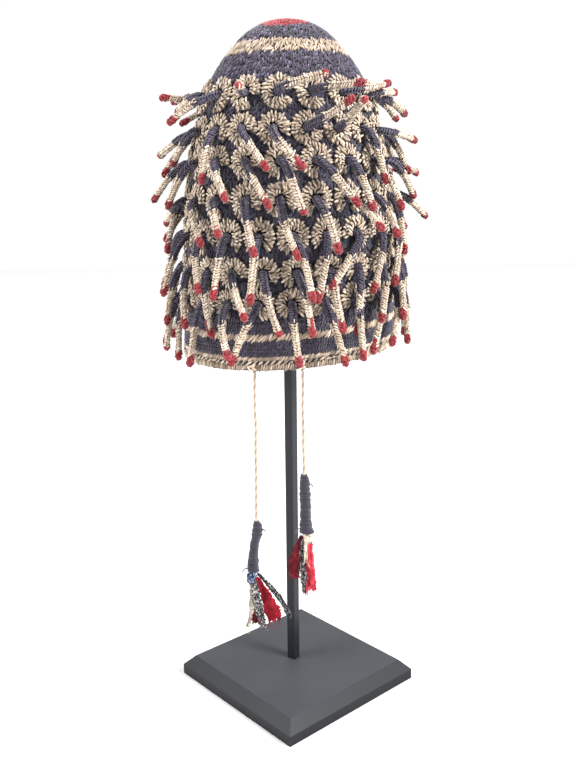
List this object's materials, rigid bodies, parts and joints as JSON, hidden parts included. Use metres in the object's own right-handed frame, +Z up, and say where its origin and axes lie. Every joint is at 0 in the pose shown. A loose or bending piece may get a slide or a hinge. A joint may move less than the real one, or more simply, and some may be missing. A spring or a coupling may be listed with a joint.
{
  "type": "prestige hat on a display stand",
  "caption": "Tall crocheted cotton hat covered in raised rings and hanging burls, with two tasselled strings, on a pole stand.",
  "frame": {"origin": "middle of the underside of the stand's plate, on the surface that it stands on", "axes": "+Z up along the pole, -Y towards the hat's front, where the strings hang, +X to the right seen from the front"},
  "size_m": [0.2331, 0.236, 0.5813],
  "materials": {
    "painted_wood": "satin charcoal paint",
    "painted_steel": "satin black paint",
    "foam": "matte closed-cell foam",
    "navy_crochet": "matte crocheted cotton, slightly faded",
    "natural_crochet": "matte undyed cotton yarn",
    "natural_string": "twisted undyed cotton cord",
    "navy_wrapping": "matte cotton thread, wound tight",
    "cloth_strips": "torn cotton cloth with frayed ends"
  },
  "bodies": {
    "root": {"stand_base": "painted_wood", "stand_pole": "painted_steel", "hat_support": "foam", "cap": "navy_crochet", "burl_field": "natural_crochet", "string_left": "natural_string", "string_right": "natural_string", "tassel_sleeve_left": "navy_wrapping", "tassel_sleeve_right": "navy_wrapping", "tassel_strips_left": "cloth_strips", "tassel_strips_right": "cloth_strips"}
  },
  "joints": []
}
